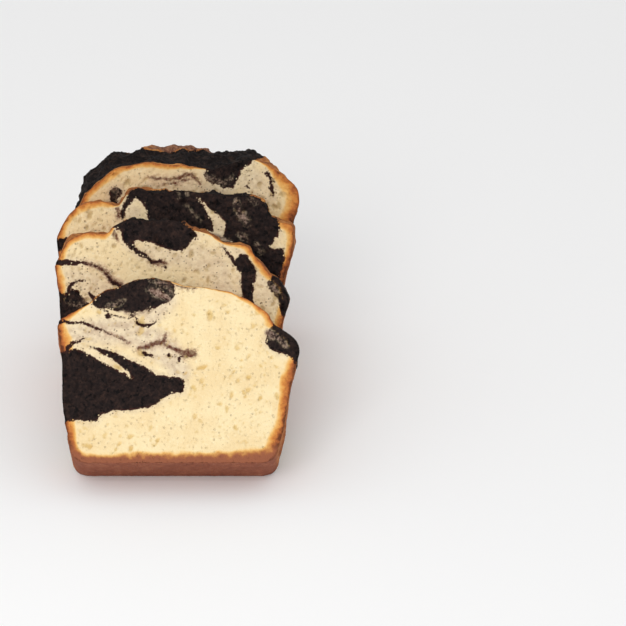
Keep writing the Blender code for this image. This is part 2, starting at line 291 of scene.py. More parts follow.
# How wide the browning of each cut face is: along the crown as (across, width), then at the right
# wall and at the left wall, in millimetres
BROWNING = (
    (((-50, 4.5), (-44, 2.2), (-38, 0.9), (0, 1.0), (18, 1.1), (28, 1.6), (36, 3.4), (41, 3.0), (50, 4.6)),
     5.2, 4.6),
    (((-50, 3.4), (-41, 4.2), (-30, 3.4), (-24, 1.0), (12, 0.8), (20, 1.4), (28, 3.0), (38, 3.8),
      (46, 2.6)), 4.6, 3.4),
    (((-50, 3.8), (-42, 4.6), (-30, 3.6), (-24, 1.2), (36, 0.8), (42, 1.6), (48, 5.6)), 6.2, 3.4),
    (((-44, 4.6), (-34, 4.2), (-20, 3.4), (4, 3.0), (12, 1.2), (34, 0.6), (40, 2.6), (46, 6.8), (54, 9.6)),
     11.6, 4.2),
)
FOOT_BROWNING = 6.2
BROWNED_WALL = (54.0, 64.0)  # heights between which the walls' browning becomes the crown's
BROWNED_FOOT = (3.0, 10.0)  # the same from the foot's to the walls'
CROWN_BROWNING = 0.80  # how brown the rim is along the crown, against 1 at the walls


# ------ small tools

NOISE_CELLS = 32  # after so many lumps the noise repeats


def ramp(value, low, high):
    """0 below low, 1 above high, and smooth between."""
    part = np.clip((value - low) / (high - low), 0.0, 1.0)
    return part * part * (3.0 - 2.0 * part)


def lumps(points, size, seed):
    """Smooth noise from -1 to 1 at loaf points, its lumps about size wide."""
    table = np.random.default_rng(seed).random((NOISE_CELLS,) * 3) * 2 - 1
    spot = points / size
    cell = np.floor(spot).astype(int)
    part = spot - cell
    part = part * part * (3 - 2 * part)
    total = np.zeros(len(points))
    for corner in product((0, 1), repeat=3):
        weight = np.prod(np.where(corner, part, 1 - part), axis=1)
        x, y, z = ((cell + corner) % NOISE_CELLS).T
        total += weight * table[x, y, z]
    return total


def rough(points, size, seed, octaves=3):
    """Noise with finer and finer lumps on top."""
    return sum(lumps(points, size / 2 ** k, seed + k) / 2 ** k for k in range(octaves))


# ------ the slices' form

def arc(middle, radius, start, end):
    """Points along an arc, from one angle to another in degrees."""
    angles = np.radians(np.linspace(start, end, CORNER_STEPS + 1))
    return np.column_stack((middle[0] + radius * np.cos(angles), middle[1] + radius * np.sin(angles)))


def curve_through(points, steps, closed=False):
    """A Catmull-Rom curve through every point."""
    points = np.array(points, float)
    parts = (points[-1:], points, points[:2]) if closed else (points[:1], points, points[-1:])
    padded = np.vstack(parts)[:, None]
    before, start, end, after = padded[:-3], padded[1:-2], padded[2:-1], padded[3:]
    t = (np.arange(steps) / steps)[None, :, None]
    line = 0.5 * (2 * start + (end - before) * t + (2 * before - 5 * start + 4 * end - after) * t ** 2
                  + (3 * start - before - 3 * end + after) * t ** 3)
    line = line.reshape(-1, points.shape[1])
    return line if closed else np.vstack((line, points[-1:]))


def evenly(line, count):
    """count points spaced evenly along a line, its last point left out."""
    reach = np.concatenate(([0.0], np.cumsum(np.linalg.norm(np.diff(line, axis=0), axis=1))))
    target = reach[-1] * np.arange(count) / count
    return np.column_stack([np.interp(target, reach, line[:, axis]) for axis in range(2)])


def rim(face, across, upright):
    """The face's outline, anticlockwise from the foot's left corner."""
    left_corner = (FLOOR_LEFT + FLOOR_CORNER, FLOOR_CORNER)
    right_corner = (FLOOR_RIGHT - FLOOR_CORNER, FLOOR_CORNER)
    above = [(FLOOR_RIGHT, FLOOR_CORNER), *face["right"], *face["crown"], *face["left"],
             (FLOOR_LEFT, FLOOR_CORNER)]
    line = curve_through(above, CURVE_STEPS)
    shoulder_right = (1 + len(face["right"])) * CURVE_STEPS
    shoulder_left = shoulder_right + (len(face["crown"]) - 1) * CURVE_STEPS
    floor = np.vstack((arc(left_corner, FLOOR_CORNER, 225, 270), arc(right_corner, FLOOR_CORNER, 270, 315)))
    right = np.vstack((arc(right_corner, FLOOR_CORNER, 315, 360)[:-1], line[:shoulder_right + 1]))
    crown = line[shoulder_right:shoulder_left + 1]
    left = np.vstack((line[shoulder_left:], arc(left_corner, FLOOR_CORNER, 180, 225)[1:]))
    sides = ((floor, across), (right, upright), (crown, across), (left, upright))
    return np.vstack([evenly(*side) for side in sides])


def solid_noise(points):
    """The relief noise of the solids."""
    return np.array([noise.fractal(Vector(point), 1.0, 2.0, 2) for point in points / CRAG_SIZE])


def craggy(ring, along):
    """A ring of face points, each moved out or in by the crust's relief, as on the solid."""
    run = np.roll(ring, -1, axis=0) - np.roll(ring, 1, axis=0)
    outward = np.column_stack((run[:, 1], -run[:, 0]))
    outward /= np.linalg.norm(outward, axis=1)[:, None]
    height = WALL_CRAGS + (TOP_CRAGS - WALL_CRAGS) * ramp(ring[:, 1], *SHOULDER)
    nearest_cut = min(abs(along - cut * SLICE_THICKNESS) for cut in range(len(STANCES)))
    height *= CUT_CRAGS + (1.0 - CUT_CRAGS) * ramp(nearest_cut, 0.0, CUT_REACH)
    height *= ramp(ring[:, 1], *FOOT)
    spots = np.column_stack((ring, np.full(len(ring), along)))
    return ring + outward * (height * solid_noise(spots))[:, None]


def stations(index, layers):
    """(depth behind the cut, inset towards the middle) of each ring of a slice."""
    if index != HEEL:
        return [(SLICE_THICKNESS * layer / layers, 0.0) for layer in range(layers + 1)]
    straight = HEEL_THICKNESS - HEEL_ROUNDING
    places = [(straight * layer / layers, 0.0) for layer in range(layers)]
    turns = max(4, round(layers * HEEL_ROUNDING * math.pi / 2 / straight))
    for turn in range(turns + 1):
        angle = math.pi / 2 * turn / turns
        places.append((straight + HEEL_ROUNDING * math.sin(angle), HEEL_ROUNDING * (1 - math.cos(angle))))
    return places


def rear_outline(own, following):
    """The next slice's face, drawn in to a slice's own outline wherever it stands proud."""
    out = np.linalg.norm(own - LOAF_MIDDLE, axis=1)
    share = np.minimum(1.0, np.linalg.norm(following - LOAF_MIDDLE, axis=1) / out)
    return (own - LOAF_MIDDLE) * share[:, None] + LOAF_MIDDLE


def rings(index, across, upright, layers):
    """The rings of a slice as an array of (across, depth, up)."""
    front, back = rim(FACES[index], across, upright), rim(FACES[index + 1], across, upright)
    if index != HEEL:
        back = rear_outline(front, back)
    full = SLICE_THICKNESS if index != HEEL else HEEL_THICKNESS - HEEL_ROUNDING
    made = []
    for depth, inset in stations(index, layers):
        part = min(1.0, depth / full)
        ring = craggy(front * (1 - part) + back * part, index * SLICE_THICKNESS + depth)
        away = ring - LOAF_MIDDLE
        ring = ring - away / np.linalg.norm(away, axis=1)[:, None] * inset
        depths = np.full(len(ring), depth)
        if index == HEEL:
            depths *= 1.0 - HEEL_FOOT_LOSS / HEEL_THICKNESS * (1.0 - ring[:, 1] / LOAF_HEIGHT)
        made.append(np.column_stack((ring[:, 0], depths, ring[:, 1])))
    return np.array(made)


def filled(ring, across, upright):
    """A grid of points that fills a ring (a Coons patch), its rows from the floor up."""
    floor, right = ring[:across + 1], ring[across:across + upright + 1]
    crown = ring[across + upright:2 * across + upright + 1][::-1]
    left = np.vstack((ring[2 * across + upright:], ring[:1]))[::-1]
    u = np.linspace(0, 1, across + 1)[None, :, None]
    v = np.linspace(0, 1, upright + 1)[:, None, None]
    edges = floor[None] * (1 - v) + crown[None] * v + left[:, None] * (1 - u) + right[:, None] * u
    corners = (floor[0] * (1 - u) + floor[-1] * u) * (1 - v) + (crown[0] * (1 - u) + crown[-1] * u) * v
    return edges - corners


def around(across, upright):
    """Where each point of a ring lies in the grid that fills it, as (rows, columns)."""
    rows = (*[0] * across, *range(upright), *[upright] * across, *range(upright, 0, -1))
    columns = (*range(across), *[across] * upright, *range(across, 0, -1), *[0] * upright)
    return np.array((rows, columns))


def bumpy_end(back):
    """The grid of the loaf's baked end, pressed in here and there by the crust's relief."""
    flat = back.reshape(-1, 3)
    spots = np.column_stack((flat[:, 0], flat[:, 2], np.full(len(flat), HEEL * SLICE_THICKNESS)))
    bumps = END_CRAGS * np.abs(solid_noise(spots)).reshape(back.shape[:2])
    bumps[[0, -1]], bumps[:, [0, -1]] = 0, 0
    back[:, :, 1] -= bumps
    return back


def wall_quads(loops):
    """The quads between each loop of points and the next."""
    return [np.column_stack((near, far, np.roll(far, -1), np.roll(near, -1)))
            for near, far in zip(loops, loops[1:])]


def grid_quads(rows, columns):
    """The quads between the points of a grid."""
    grid = np.arange(rows * columns).reshape(rows, columns)
    corners = (grid[:-1, :-1], grid[:-1, 1:], grid[1:, 1:], grid[1:, :-1])
    return np.column_stack([corner.ravel() for corner in corners])


def marked(count, *places):
    """An array that is true at some places."""
    marks = np.zeros(count, bool)
    for place in places:
        marks[place] = True
    return marks


def slice_shape(index, steps):
    """Points (across, depth, up), quads, marks for the front, the back and the rims, and the rims."""
    across, upright, layers = steps
    made = rings(index, across, upright, layers)
    front, back = filled(made[0], across, upright), filled(made[-1], across, upright)
    if index == HEEL:
        back = bumpy_end(back)
    size = (upright + 1) * (across + 1)
    row, column = around(across, upright)
    on_edge = row * (across + 1) + column
    count = len(on_edge)
    shell = made[1:-1].reshape(-1, 3)
    points = np.vstack((front.reshape(-1, 3), shell, back.reshape(-1, 3)))
    start_back = size + len(shell)
    loops = [on_edge] + [size + count * k + np.arange(count) for k in range(len(made) - 2)]
    loops.append(start_back + on_edge)
    cut = grid_quads(upright + 1, across + 1)
    quads = np.vstack((*wall_quads(loops), cut, cut[:, ::-1] + start_back))
    on_front = marked(len(points), slice(size))
    on_back = marked(len(points), slice(start_back, None))
    at_rim = marked(len(points), on_edge, start_back + on_edge)
    return points, quads, on_front, on_back, at_rim, (made[0], made[-1])


def placing(index):
    """The rotation and the place of a slice, found from its solid's box."""
    stance = STANCES[index]
    euler = Euler((math.radians(-stance["lean"]), 0.0, math.radians(stance["turn"])), "XYZ")
    turned = np.array(euler.to_matrix())
    solid = rings(index, *SOLID_STEPS).reshape(-1, 3) @ turned.T * MM
    return turned, np.array(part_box(stance["name"])[1]) - solid.max(axis=0)


def camera_place():
    """The camera's place, and the directions that are forward and upward in the picture."""
    turned, place = placing(0)
    datum = place + turned @ (0.0, SLICE_THICKNESS * MM, 0.0)
    datum[2] = 0.0
    forward = np.array((0.0, math.cos(ELEVATION), -math.sin(ELEVATION)))
    upward = np.array((0.0, math.sin(ELEVATION), math.cos(ELEVATION)))
    distance = FOCAL_PIXELS / PIXELS_PER_MM * MM
    right, down = (np.array(DATUM_PIXEL) - PICTURE / 2) / FOCAL_PIXELS * distance
    return datum - forward * distance + upward * down - np.array((right, 0.0, 0.0)), forward, upward


def on_face(index, pixels):
    """The points of a slice's front cut that show at some pixels. A third column is a radius."""
    pixels = np.array(pixels, float)
    turned, place = placing(index)
    eye, forward, upward = camera_place()
    right, down = (pixels[:, :2] - PICTURE / 2).T / FOCAL_PIXELS
    rays = forward + np.outer(right, (1.0, 0.0, 0.0)) - np.outer(down, upward)
    facing = turned[:, 1]
    reach = (place - eye) @ facing / (rays @ facing)
    found = (eye + rays * reach[:, None] - place) @ turned / MM
    return np.column_stack((found[:, 0], found[:, 2], pixels[:, 2:] / PIXELS_PER_MM))


# ------ the marbling as distances

MARBLING = [{kind: [on_face(index, shape) for shape in shapes] for kind, shapes in pattern.items()}
            for index, pattern in enumerate(MARBLING_PIXELS)]


def polygon_distance(spots, line):
    """Distance from face points to a polygon, negative inside."""
    nearest = np.full(len(spots), 1e9)
    inside = np.zeros(len(spots), bool)
    for start, end in zip(line, np.roll(line, -1, axis=0)):
        run = end - start
        to = spots - start
        part = np.clip(to @ run / max(run @ run, 1e-9), 0, 1)
        gap = to - part[:, None] * run
        nearest = np.minimum(nearest, (gap * gap).sum(axis=1))
        crosses = (start[1] > spots[:, 1]) != (end[1] > spots[:, 1])
        rise = run[1] if run[1] else 1e-9
        inside ^= crosses & (spots[:, 0] < start[0] + (spots[:, 1] - start[1]) * run[0] / rise)
    return np.where(inside, -1.0, 1.0) * np.sqrt(nearest)


def outline_distance(spots, outline):
    """Distance from face points to a smooth closed outline, negative inside."""
    return polygon_distance(spots, curve_through(outline, MARBLE_STEPS, closed=True))


def stroke_distance(spots, stroke):
    """Distance from face points to a stroke whose radius changes along it, negative inside."""
    line = curve_through(stroke, MARBLE_STEPS)
    nearest = np.full(len(spots), 1e9)
    for start, end in zip(line, line[1:]):
        run = end[:2] - start[:2]
        to = spots - start[:2]
        part = np.clip(to @ run / max(run @ run, 1e-9), 0, 1)
        gap = np.linalg.norm(to - part[:, None] * run, axis=1)
        nearest = np.minimum(nearest, gap - (start[2] + (end[2] - start[2]) * part))
    return nearest


FAR = 30.0  # the distance to a shape that isn't there


def nearest_of(spots, shapes, measure):
    """Distance from face points to the nearest of some shapes."""
    found = np.full(len(spots), FAR)
    for shape in shapes:
        found = np.minimum(found, measure(spots, shape))
    return found


def marbling_at(spots, pattern):
    """Distances from face points to the pattern's chocolate, mauve, stained and dull crumb."""
    streak, pale, mauve, brown, grey = (nearest_of(spots, pattern.get(kind, ()), stroke_distance)
                                        for kind in ("streak", "pale", "mauve", "brown", "grey"))
    dark = np.minimum(nearest_of(spots, pattern["dark"], outline_distance), streak)
    return np.column_stack((np.maximum(dark, -pale), mauve, brown, grey))


WANDER = (0.5, 3.0, (11, 17))  # how far the swirls stray, the size of the noise, and its seeds

# Depths behind the cut at which one pattern passes into the next
SLICE_PASSES = (0.0, 6.0, SLICE_THICKNESS)
HEEL_PASSES = (0.0, 2.6, 12.0, 18.0)


def strayed(loaf, reach, size, seeds):
    """Loaf points as face points that stray a little."""
    return loaf[:, [0, 2]] + reach * np.column_stack([rough(loaf, size, seed, 2) for seed in seeds])


def marbling(index, loaf, depth):
    """The marbling's distances at loaf points, passing from pattern to pattern through the slice."""
    if index == HEEL:
        behind, end = HEEL_MARBLING
        passes = HEEL_PASSES
        shares = ((MARBLING[HEEL], (1, 0, 0, 0)), (behind, (0, 1, 1, 0)), (end, (0, 0, 0, 1)))
    else:
        passes = SLICE_PASSES
        shares = ((MARBLING[index], (1, 1, 0)), (MARBLING[index + 1], (0, 0, 1)))
    spots = strayed(loaf, *WANDER)
    found = np.zeros((len(loaf), 4))
    for pattern, share in shares:
        weight = np.interp(depth, passes, share)
        used = weight > 0
        found[used] += marbling_at(spots[used], pattern) * weight[used, None]
    return found.T


# ------ crumb and crust in relief

# Small pits of a cut face: their number in the front's fine crumb and in the coarser crumb behind
FINE_PITS = 420
COARSE_PITS = 900
PIT_RADIUS = 0.34
PIT_SPREAD = 0.20
LARGEST_PIT = 1.3
PIT_ACROSS = (-50, 52)
PIT_UP = (4, 84)
PIT_STRETCH = (1.0, 2.4)
PIT_DEPTH = (0.4, 1.1)  # as a share of its radius
PIT_PROFILE = 0.6  # a lower power makes steeper walls
# The power by which the painted shade in the pits fades towards their rims
PIT_SHADING = 0.5
PIT_IN_CHOCOLATE = 0.5  # how much deeper it is there
PIT_SEED = 40

# The larger holes that show: (across, up, radius, stretch, turn in degrees, depth)
HOLES = (
    ((10.5, 41.9, 1.0, 2.6, 8, 1.3), (3.4, 39.2, 0.8, 1.3, 20, 1.0), (21, 66.3, 0.9, 1.3, 0, 0.9),
     (31.5, 60, 0.8, 2.0, 110, 0.8), (-16, 61.5, 1.4, 1.8, -10, 1.4), (-33, 66, 1.0, 1.2, 0, 0.9),
     (-15, 47.8, 1.2, 2.0, -12, 1.3), (-3.4, 46.8, 0.8, 1.2, 80, 1.2), (10, 35.4, 0.8, 1.4, 60, 0.8),
     (28, 31, 0.9, 1.5, 140, 0.8), (17, 50.7, 0.9, 1.2, 0, 0.5), (25, 50.2, 0.9, 1.6, 150, 0.5)),
    ((-2.8, 63, 0.7, 1.2, 0, 0.9), (10, 62, 0.9, 1.4, 30, 0.9), (-9.5, 66, 0.9, 1.5, 0, 0.9),
     (-39, 73, 0.8, 1.8, 120, 0.9), (5, 58, 1.0, 1.4, 70, 0.9)),
    ((-37, 74, 1.2, 1.9, 70, 1.2), (2, 76, 0.8, 1.3, 10, 0.9), (30, 76, 1.0, 1.5, 40, 1.1)),
    ((-5, 72, 0.9, 1.3, 0, 0.9), (33, 70, 0.8, 1.5, 80, 0.8), (-22, 77, 1.0, 1.8, 20, 0.8)),
)


def pit_list(face, seed):
    """The pits of one cut face: the holes named above, and many small ones anywhere."""
    draw = np.random.default_rng(seed)
    count = COARSE_PITS if face else FINE_PITS
    radius = np.minimum(PIT_RADIUS + draw.exponential(PIT_SPREAD, count), LARGEST_PIT)
    small = np.column_stack((draw.uniform(*PIT_ACROSS, count), draw.uniform(*PIT_UP, count), radius,
                             draw.uniform(*PIT_STRETCH, count), draw.uniform(0, 180, count),
                             radius * draw.uniform(*PIT_DEPTH, count)))
    return np.vstack((small, HOLES[face])) if face < len(HOLES) else small


def pitted(spots, pits):
    """How deep each face point lies in the pits, and how much painted shade that gives it, from 0 to 1."""
    tree = kdtree.KDTree(len(spots))
    for number, (across, up) in enumerate(spots):
        tree.insert((across, up, 0.0), number)
    tree.balance()
    deep, inside = np.zeros(len(spots)), np.zeros(len(spots))
    for across, up, radius, stretch, turn, depth in pits:
        near = [number for _, number, _ in tree.find_range((across, up, 0.0), radius * stretch)]
        if not near:
            continue
        away = spots[near] - (across, up)
        cos, sin = math.cos(math.radians(turn)), math.sin(math.radians(turn))
        along, beside = away @ (cos, sin), away @ (-sin, cos)
        share = np.clip(1.0 - (along / (radius * stretch)) ** 2 - (beside / radius) ** 2, 0.0, 1.0)
        deep[near] = np.maximum(deep[near], depth * share ** PIT_PROFILE)
        # Painted shade in the pits, darkest at their middles and in the wider ones
        inside[near] = np.maximum(inside[near], share ** PIT_SHADING * min(1.0, radius))
    return deep, inside


def browning(face, spots, rind):
    """How brown each point of a cut face is, from 0 to 1, at its distance from the crust."""
    across, up = spots.T
    crown, right, left = BROWNING[min(face, HEEL)]
    wall = np.where(across > 0, right, left)
    low = 1 - ramp(up, *BROWNED_WALL)
    width = np.interp(across, *zip(*crown)) * (1 - low) + wall * low
    width += (FOOT_BROWNING - width) * (1 - ramp(up, *BROWNED_FOOT))
    return np.clip(1.0 - rind / width, 0.0, 1.0) * (CROWN_BROWNING + (1 - CROWN_BROWNING) * low)


# Relief in millimetres: (height, size of its lumps, seed, octaves)
CRUMB_GRAIN = (0.16, 1.5, 3, 3)
CRUMB_SWELL = (0.22, 7.0, 5, 2)
TORN_CRUMB = (0.45, 2.1, 7, 3)
CRUST_GRAIN = (0.22, 2.2, 13, 3)
CRUST_SPECKLE = (0.14, 0.9, 15, 2)
CROWN_CREASES = (0.35, 4.0, 23, 3)
CRUMBLY_CRUST = (1.0, 3.4, 19, 3)
CRUMBLY_SPECKLE = (0.5, 1.5, 21, 2)
WORN_RIM = (0.35, 2.0, 29, 2)
BAKE_UNEVEN = (0.35, 9.0, 31, 2)  # of the browning's width, as a share of it
RAGGED_PITS = (0.4, 1.4, (51, 53))  # as WANDER
TEAR_DEPTH = 0.35
TEAR_SIZE = 1.5
TEAR_SEED = 9
TEAR_EDGE = (0.2, 0.8)
WALLS_CRUMBLE = 0.15  # the share of the crumbly relief that the walls have
CROWN_CRUMBLES = 0.70  # how much more the crown has
RIM_STRIDE = 4  # every fourth point of a rim is enough to measure from

# Where one thing passes into another
DARKENS = (-0.4, 0.3)  # from chocolate to cream
PITS_START = (0.8, 2.5)  # from a rim without pits to pitted crumb
CUT_FADES = (0.0, 1.6)  # from a cut's relief to the crust's
CROWN_STARTS = (58.0, 72.0)  # heights, from the walls' crust to the crown's


def waves(loaf, height, *lump):
    """Relief that rises and falls by its height."""
    return height * rough(loaf, *lump)


def near_cuts(index, loaf, depth, cuts):
    """Each point's distance from a cut's rim, its browning, its depth in the pits and the shade painted
    there.
    """
    edge = depth.copy() if index == HEEL else np.minimum(depth, SLICE_THICKNESS - depth)
    bake, deep, inside = np.ones(len(loaf)), np.zeros(len(loaf)), np.zeros(len(loaf))
    spots = loaf[:, [0, 2]]
    ragged = strayed(loaf, *RAGGED_PITS)
    uneven = 1 + waves(loaf, *BAKE_UNEVEN)
    for side, (face, ring) in enumerate(cuts):
        rind = np.maximum(-polygon_distance(spots[face], ring[::RIM_STRIDE, [0, 2]]), 0.0)
        edge[face] = rind
        bake[face] = browning(index + side, spots[face], rind * uneven[face])
        pits = pit_list(index + side, PIT_SEED + 2 * index + side)
        deep[face], inside[face] = pitted(ragged[face], pits)
    return edge, bake, deep, inside


def rounded(loaf, height, *lump):
    """Relief of round lumps, from 0 to its height."""
    return height * (0.5 + 0.5 * rough(loaf, *lump))


def creased(loaf, height, *lump):
    """Relief that is 0 along creases and rises on both sides of them."""
    return height * np.abs(rough(loaf, *lump))


def ridged(loaf, height, *lump):
    """Relief with sharp ridges."""
    return height * (1.0 - np.abs(rough(loaf, *lump)))


def crumb_relief(loaf, dark):
    """Cut crumb, torn where it is chocolate."""
    torn = creased(loaf, *TORN_CRUMB) + TEAR_DEPTH * ramp(lumps(loaf, TEAR_SIZE, TEAR_SEED), *TEAR_EDGE)
    return rounded(loaf, *CRUMB_GRAIN) + rounded(loaf, *CRUMB_SWELL) + dark * torn


def crust_relief(loaf, dark):
    """Crust, creased along the crown and crumbly where it is chocolate."""
    crown = ramp(loaf[:, 2], *CROWN_STARTS)
    fine = rounded(loaf, *CRUST_GRAIN) + rounded(loaf, *CRUST_SPECKLE)
    crumbly = ridged(loaf, *CRUMBLY_CRUST) + ridged(loaf, *CRUMBLY_SPECKLE)
    crumbly *= dark * (WALLS_CRUMBLE + CROWN_CRUMBLES * crown)
    return fine + crumbly + crown * creased(loaf, *CROWN_CREASES)


def weathered(index, points, quads, on_front, on_back, at_rim, ends):
    """Moves the points inwards for crumb, crust and pits, and gives what the material reads."""
    depth = points[:, 1]
    loaf = points + (0.0, index * SLICE_THICKNESS, 0.0)
    cuts = list(zip((on_front, on_back), ends))
    if index == HEEL:
        cuts.pop()
    on_cut = np.any([face for face, _ in cuts], axis=0)
    choc, mauve, brown, grey = marbling(index, loaf, depth)
    dark = 1.0 - ramp(choc, *DARKENS)
    edge, bake, deep, inside = near_cuts(index, loaf, depth, cuts)
    clear = ramp(edge, *PITS_START)
    inner = crumb_relief(loaf, dark) + deep * clear * (1 + PIT_IN_CHOCOLATE * dark)
    near = 1 - ramp(edge, *CUT_FADES)
    outer = inner * near + crust_relief(loaf, dark) * (1 - near)

    # The rims of a cut are worn round
    worn = (WORN_RIM[0] + waves(loaf, *WORN_RIM)) * np.clip(1.0 - edge, 0.0, 1.0) ** 2
    inward = np.where(on_cut, inner, outer) + np.maximum(worn, 0.0)
    moved = points - vertex_normals(points, quads) * inward[:, None]
    skin = np.where(on_cut & ~at_rim, 0.0, 1.0)
    # The last fact is how much shade is painted at each point in the pits.
    return moved, dict(loaf=loaf, choc=choc, mauve=mauve, brown=brown, grey=grey, bake=bake, skin=skin,
                       pit=inside * clear)


def vertex_normals(points, quads):
    """The outward direction at each point."""
    a, b, c, d = (points[quads[:, corner]] for corner in range(4))
    facing = np.cross(c - a, d - b)
    total = np.zeros_like(points)
    for corner in range(4):
        np.add.at(total, quads[:, corner], facing)
    return total / np.linalg.norm(total, axis=1)[:, None]


def add_fact(mesh, name, values):
    """Stores a value for each point of the mesh, for the material to read."""
    flat = values.ndim == 1
    fact = mesh.attributes.new(name, "FLOAT" if flat else "FLOAT_VECTOR", "POINT")
    fact.data.foreach_set("value" if flat else "vector", values.astype(np.float32).ravel())


def mesh_of(name, points, quads):
    mesh = bpy.data.meshes.new(name)
    mesh.vertices.add(len(points))
    mesh.vertices.foreach_set("co", points.ravel())
    mesh.loops.add(quads.size)
    mesh.loops.foreach_set("vertex_index", quads.ravel())
    mesh.polygons.add(len(quads))
    mesh.polygons.foreach_set("loop_start", np.arange(len(quads)) * 4)
    mesh.update(calc_edges=True)
    mesh.validate()
    mesh.shade_smooth()
    return mesh


def make_slice(index, material):
    name = STANCES[index]["name"]
    points, quads, *rest = slice_shape(index, FINE_HEEL_STEPS if index == HEEL else FINE_STEPS)
    moved, facts = weathered(index, points, quads, *rest)
    turned, place = placing(index)
    placed = moved @ turned.T * MM + place
    placed[:, 2] = np.maximum(placed[:, 2], 0.0)  # the resting edge is pressed flat, as on the solid
    mesh = mesh_of(name + "_cake", placed, quads)
    for fact, values in facts.items():
        add_fact(mesh, fact, values)
    mesh.materials.append(material)
    piece = bpy.data.objects.new(name + "_cake", mesh)
    bpy.context.collection.objects.link(piece)
    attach(piece, "root")
    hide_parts(name)


# ------ material

def colour(red, green, blue):
    """A linear colour with alpha from sRGB screen values of 0 to 255."""
    def linear(value):
        share = value / 255
        return share / 12.92 if share <= 0.04045 else ((share + 0.055) / 1.055) ** 2.4
    return (linear(red), linear(green), linear(blue), 1.0)


MIXED_SOCKETS = (0, 6, 7)  # a Mix node's factor and its two colours


class Nodes:
    """Writes a material's nodes as nested calls. Each returns the socket that holds its result."""

    def __init__(self, name):
        self.material = bpy.data.materials.new(name)
        self.material.use_nodes = True
        self.tree = self.material.node_tree
        self.shader = self.tree.nodes["Principled BSDF"]

    def new(self, kind, **inputs):
        """A node with some of its inputs linked or set."""
        node = self.tree.nodes.new("ShaderNode" + kind)
        for name, value in inputs.items():
            self.feed(node.inputs[name], value)
        return node

    def feed(self, socket, value):
        """Links a socket to another, or sets it to a number or a screen colour."""
        if isinstance(value, bpy.types.NodeSocket):
            self.tree.links.new(value, socket)
        else:
            socket.default_value = colour(*value) if isinstance(value, tuple) else value

    def fact(self, name, output="Fac"):
        node = self.new("Attribute")
        node.attribute_name = name
        return node.outputs[output]

    def math(self, operation, *values):
        node = self.new("Math")
        node.operation = operation
        for socket, value in zip(node.inputs, values):
            self.feed(socket, value)
        return node.outputs[0]

    def times(self, first, *others):
        for other in others:
            first = self.math("MULTIPLY", first, other)
        return first

    def plus(self, first, *others):
        for other in others:
            first = self.math("ADD", first, other)
        return first

    def step(self, value, low, high):
        """0 before low and 1 after high, smooth between. With low above high it falls instead."""
        node = self.new("MapRange", Value=value, **{
            "From Min": min(low, high), "From Max": max(low, high),
            "To Min": float(low > high), "To Max": float(low < high)})
        node.interpolation_type = "SMOOTHSTEP"
        return node.outputs["Result"]

    def mix(self, factor, first, second):
        node = self.new("Mix")
        node.data_type = "RGBA"
        for socket, value in zip(MIXED_SOCKETS, (factor, first, second)):
            self.feed(node.inputs[socket], value)
        return node.outputs[2]

    def noise(self, place, scale, detail, roughness):
        node = self.new("TexNoise", Vector=place, Scale=scale, Detail=detail, Roughness=roughness)
        return node.outputs[0]

    def cells(self, place, scale):
        """The distance to the middle of a random cell, and the cell's own random number."""
        node = self.new("TexVoronoi", Vector=place, Scale=scale)
        return node.outputs["Distance"], self.split(node.outputs["Color"])[0]

    def split(self, vector):
        return self.new("SeparateXYZ", Vector=vector).outputs

    def stops(self, value, *stops):
        """A colour ramp through (position, screen colour) stops."""
        node = self.new("ValToRGB")
        self.feed(node.inputs[0], value)
        elements = node.color_ramp.elements
        for element, (position, tint) in zip(elements, (stops[0], stops[-1])):
            element.position, element.color = position, colour(*tint)
        for position, tint in stops[1:-1]:
            elements.new(position).color = colour(*tint)
        return node.outputs[0]

    def bump(self, height, strength, distance):
        return self.new("Bump", Height=height, Strength=strength, Distance=distance).outputs[0]


# Noises of the crumb and crust: (scale for each millimetre, detail, roughness)
BROAD = (0.07, 2.0, 0.5)
MIDDLING = (0.34, 3.0, 0.5)
FINE = (0.80, 4.0, 0.62)
GRAIN = (2.1, 2.0, 0.6)
TEARING = (0.62, 4.0, 0.65)
MOTTLING = (0.42, 3.0, 0.55)
HOLLOWS = (0.78, 3.0, 0.6)
BLACK_PIT_SHADE = (0.46, 3.0, 0.6)

# Cells, as a scale for each millimetre
PORES = 0.44
DRAGGED_CRUMBS = 0.85
CREAM_FLECKS = 0.95

COARSER = (4.0, 20.0)  # where along the loaf the crumb turns coarser
ROUGHNESS = 0.70
GRAIN_ROUGHNESS = 0.14
SPECULAR = 0.12
BUMP = (0.7, 0.0006)  # its strength, and its height in metres


def facts_for(n):
    """The sockets that the parts of the cake's material share."""
    at = SimpleNamespace(**{name: n.fact(name) for name in
                            ("choc", "mauve", "brown", "grey", "bake", "skin", "pit")})
    at.loaf = n.fact("loaf", "Vector")
    at.along, at.up = n.split(at.loaf)[1:3]
    at.broad, at.middling, at.fine, at.grain = (n.noise(at.loaf, *kind) for kind in
                                                (BROAD, MIDDLING, FINE, GRAIN))
    at.coarse = n.step(at.along, *COARSER)
    at.ragged = n.plus(n.times(n.plus(n.noise(at.loaf, *TEARING), -0.5), 2.6),
                       n.times(n.plus(at.grain, -0.5), 0.9))
    mottling = n.plus(n.times(n.noise(at.loaf, *MOTTLING), 0.5), n.times(at.fine, 0.5))
    at.mottle = n.step(mottling, 0.41, 0.62)
    at.mauve_part = n.step(n.plus(at.mauve, at.ragged), 0.8, -1.2)
    return at


def cream_crumb(n, at):
    """Pale yellow crumb, a little greyer and coarser in the slices behind the first, with painted pore
    shade and painted highlights.
    """
    cream = n.mix(n.step(at.broad, 0.38, 0.62), (249, 227, 180), (244, 218, 168))
    cream = n.mix(n.times(at.coarse, 0.55), cream, (238, 213, 168))
    # Painted shade of small pores where the fine noise is high
    cream = n.mix(n.times(n.step(at.fine, 0.52, 0.74), 0.34), cream, (221, 190, 138))
    # Painted highlights on the crumb where the fine noise is low
    return n.mix(n.times(n.step(at.fine, 0.46, 0.30), 0.40), cream, (254, 242, 212))


